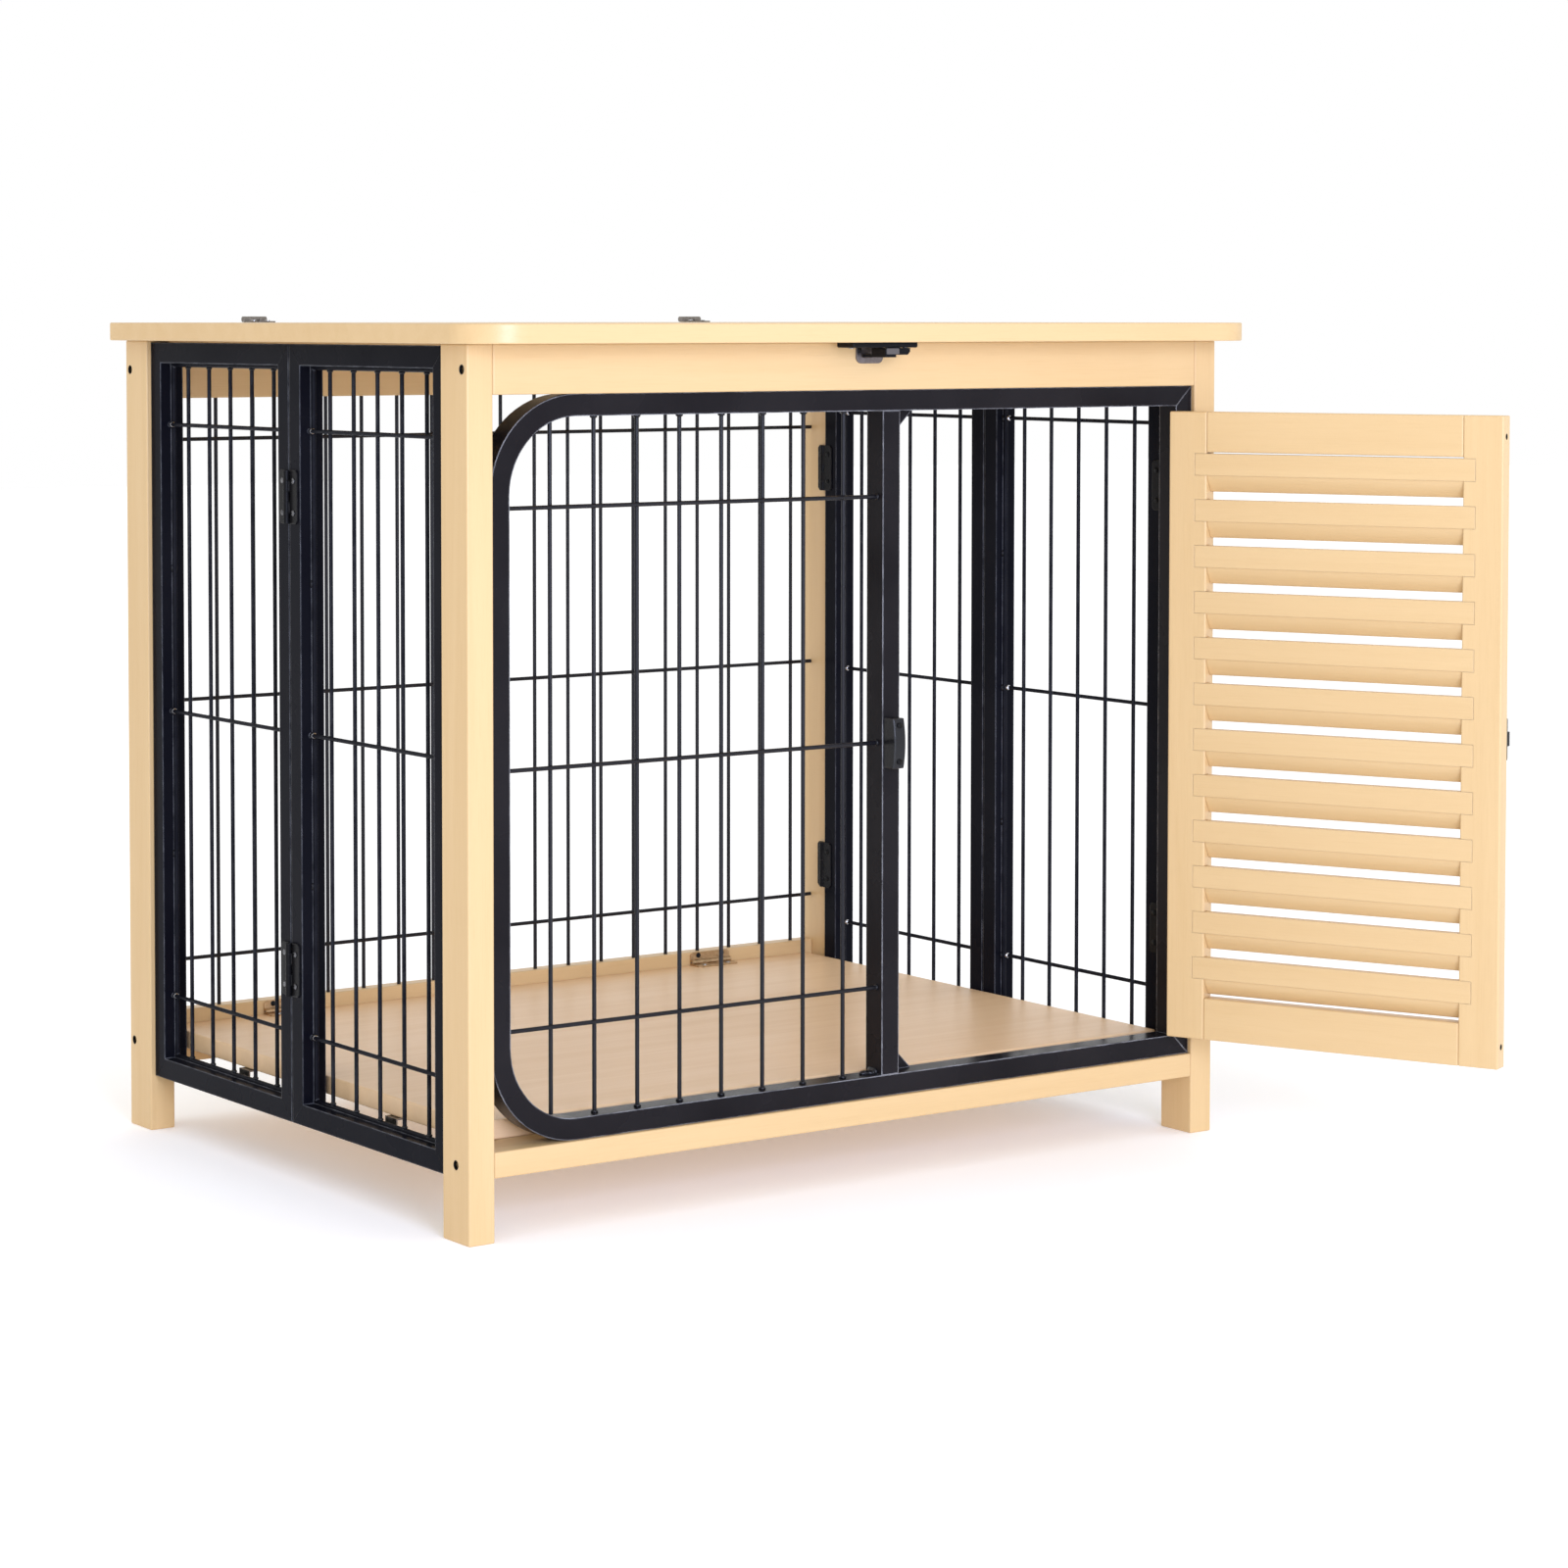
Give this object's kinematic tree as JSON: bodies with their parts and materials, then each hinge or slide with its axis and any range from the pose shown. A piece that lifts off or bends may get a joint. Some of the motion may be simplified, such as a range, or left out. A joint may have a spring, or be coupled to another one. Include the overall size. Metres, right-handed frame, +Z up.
{
  "type": "dog crate",
  "caption": "Furniture-style dog crate: timber frame, welded-wire sides that are hinged to fold, hinged board lid and floor, louvred front door on a tubular steel frame.",
  "frame": {"origin": "on the floor, in the middle of the rectangle made by the outer faces of the posts", "axes": "+X to the right seen from the front, +Y from the front to the back, +Z up"},
  "size_m": [0.9954, 0.9898, 0.8242],
  "materials": {
    "timber": "smooth pale cream lacquer over solid timber",
    "floor_board": "satin wood-grain board",
    "black_tube": "satin black powder coat",
    "black_wire": "satin black powder coat",
    "black_hardware": "semi-gloss black",
    "black_plastic": "matte black",
    "strike_steel": "dull zinc plate",
    "hinge_steel": "dull zinc plate",
    "bright_screws": "bright zinc plate"
  },
  "bodies": {
    "frame": {"Corner_Hinge_Leaves": "black_hardware", "Door_Hinge_Tube_Leaves": "black_hardware", "Door_Keeper": "black_plastic", "Floor_Hinge_Rail_Leaves": "hinge_steel", "Floor_Ledge": "timber", "Floor_Rest_Clips": "black_hardware", "Frame_Hinge_Screws": "bright_screws", "Frame_Screws": "bright_screws", "Front_Apron": "timber", "Front_Bottom_Rail": "timber", "Front_Frame_Bent_Tube": "black_tube", "Front_Frame_Centre_Post": "black_tube", "Front_Frame_Gussets": "black_tube", "Front_Frame_Right_Tube": "black_tube", "Front_Grid": "black_wire", "Lid_Hinge_Rail_Leaves": "hinge_steel", "Lid_Strike_Plate": "strike_steel", "Mid_Hinge_Leaves": "black_hardware", "Moving_Hinge_Pins": "bright_screws", "Post_Front_Left": "timber", "Post_Front_Right": "timber", "Post_Rear_Left": "timber", "Post_Rear_Right": "timber", "Rear_Bottom_Rail": "timber", "Rear_Grid": "black_wire", "Rear_Top_Rail": "timber", "Side_Hinge_Pins": "bright_screws", "Side_Panel_Left_Front": "black_tube", "Side_Panel_Left_Rear": "black_tube", "Side_Panel_Right_Front": "black_tube", "Side_Panel_Right_Rear": "black_tube"},
    "lid": {"Lid_Board": "timber", "Lid_Hinge_Lid_Leaves": "hinge_steel", "Lid_Latch_Base": "black_plastic", "Lid_Screws": "bright_screws"},
    "lid_bolt": {"Lid_Latch_Bolt": "black_plastic"},
    "floor": {"Floor_Board": "floor_board", "Floor_Hinge_Board_Leaves": "hinge_steel", "Floor_Screws": "bright_screws"},
    "door": {"Door_Slat_01": "timber", "Door_Slat_02": "timber", "Door_Slat_03": "timber", "Door_Slat_04": "timber", "Door_Slat_05": "timber", "Door_Slat_06": "timber", "Door_Slat_07": "timber", "Door_Slat_08": "timber", "Door_Slat_09": "timber", "Door_Slat_10": "timber", "Door_Slat_11": "timber", "Door_Slat_12": "timber", "Door_Hinge_Stile": "timber", "Door_Free_Stile": "timber", "Door_Top_Rail": "timber", "Door_Bottom_Rail": "timber", "Door_Hinge_Door_Leaves": "black_hardware", "Door_Latch_Base": "black_plastic", "Door_Screws": "bright_screws"},
    "door_bolt": {"Door_Latch_Bolt": "black_plastic"}
  },
  "joints": [
    {"name": "lid_hinge", "type": "hinge", "parent": "frame", "child": "lid", "pos_m": [0, 0.3332, 0.8212], "axis": [-1, 0, 0], "range_deg": [0, 270]},
    {"name": "lid_bolt_slide", "type": "slide", "parent": "lid", "child": "lid_bolt", "axis": [0, 1, 0], "range_m": [0, 0.011]},
    {"name": "floor_hinge", "type": "hinge", "parent": "frame", "child": "floor", "pos_m": [0, 0.3088, 0.1032], "axis": [-1, 0, 0], "range_deg": [0, 90]},
    {"name": "door_hinge", "type": "hinge", "parent": "frame", "child": "door", "pos_m": [0.39225, -0.3282, 0.4], "axis": [0, 0, 1], "range_deg": [-113.75, 66.25]},
    {"name": "door_bolt_slide", "type": "slide", "parent": "door", "child": "door_bolt", "axis": [0.4027, -0.9153, 0], "range_m": [0, 0.012]}
  ]
}
